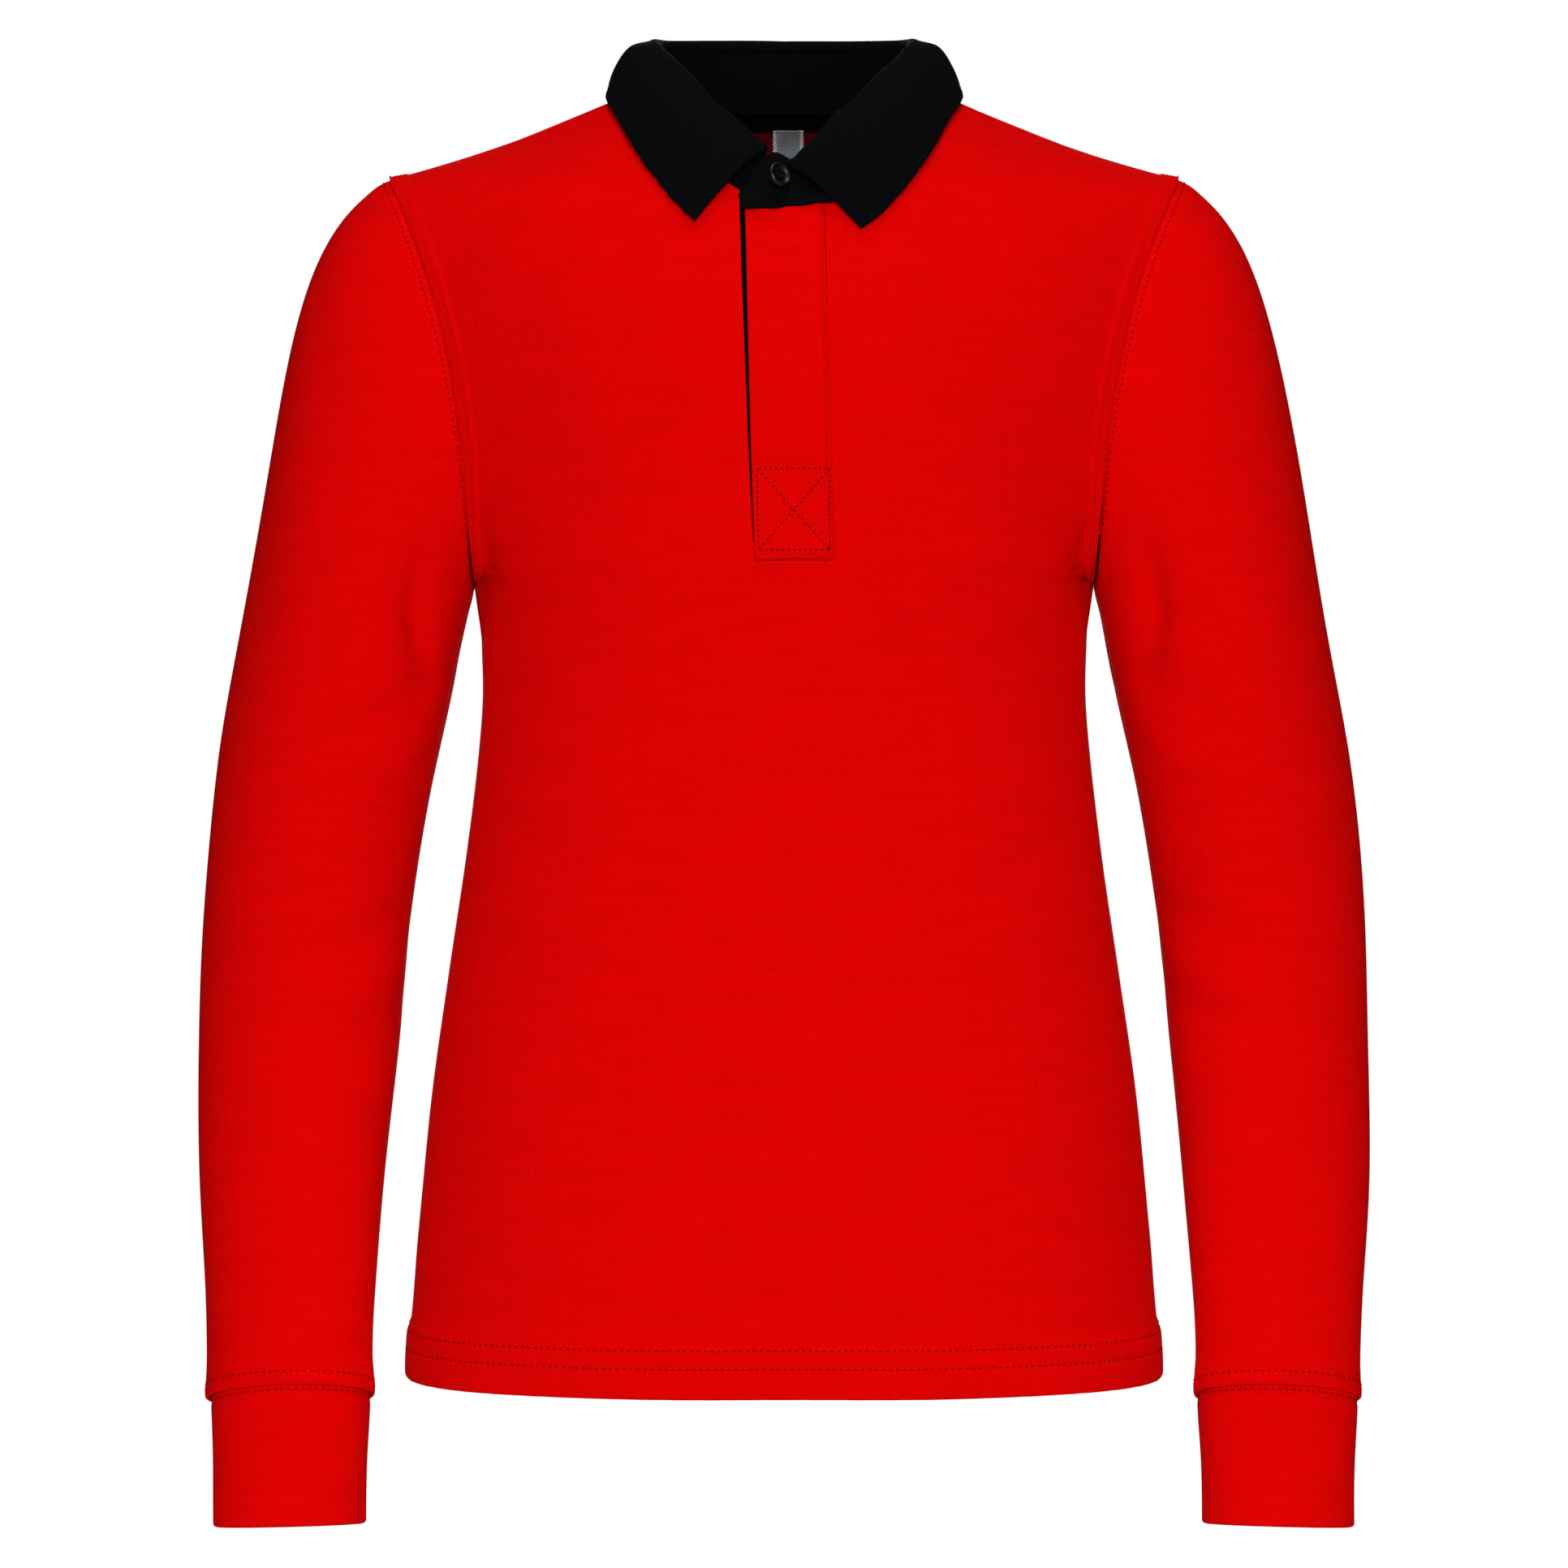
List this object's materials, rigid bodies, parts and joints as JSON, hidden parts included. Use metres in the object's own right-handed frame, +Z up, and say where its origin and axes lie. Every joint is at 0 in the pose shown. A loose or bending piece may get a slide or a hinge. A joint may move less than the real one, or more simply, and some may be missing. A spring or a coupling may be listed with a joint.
{
  "type": "rugby shirt",
  "caption": "Child's long-sleeved rugby shirt in its worn shape, with a turned-down collar, a half-front placket and close cuffs.",
  "frame": {"origin": "the middle of the neck opening, level with the shoulders that hold the shirt up", "axes": "+Z up the wearer's body, -Y out of the shirt's front, +X towards the wearer's left arm"},
  "size_m": [0.49, 0.195, 0.6243],
  "materials": {
    "front_jersey": "matt knit",
    "back_jersey": "matt knit",
    "sleeve_left_jersey": "matt knit",
    "sleeve_right_jersey": "matt knit",
    "cuff_left_jersey": "matt knit",
    "cuff_right_jersey": "matt knit",
    "placket_upper_jersey": "matt knit",
    "placket_under_twill": "matt twill",
    "collar_stand_twill": "matt twill",
    "collar_leaf_twill": "matt twill",
    "neck_tape_twill": "matt twill",
    "size_label_satin": "satin weave",
    "button_plastic": "semi-gloss"
  },
  "bodies": {
    "root": {"front": "front_jersey", "back": "back_jersey", "sleeve_left": "sleeve_left_jersey", "sleeve_right": "sleeve_right_jersey", "cuff_left": "cuff_left_jersey", "cuff_right": "cuff_right_jersey", "placket_upper": "placket_upper_jersey", "placket_under": "placket_under_twill", "collar_stand": "collar_stand_twill", "collar_leaf": "collar_leaf_twill", "neck_tape": "neck_tape_twill", "size_label": "size_label_satin", "button": "button_plastic"}
  },
  "joints": []
}
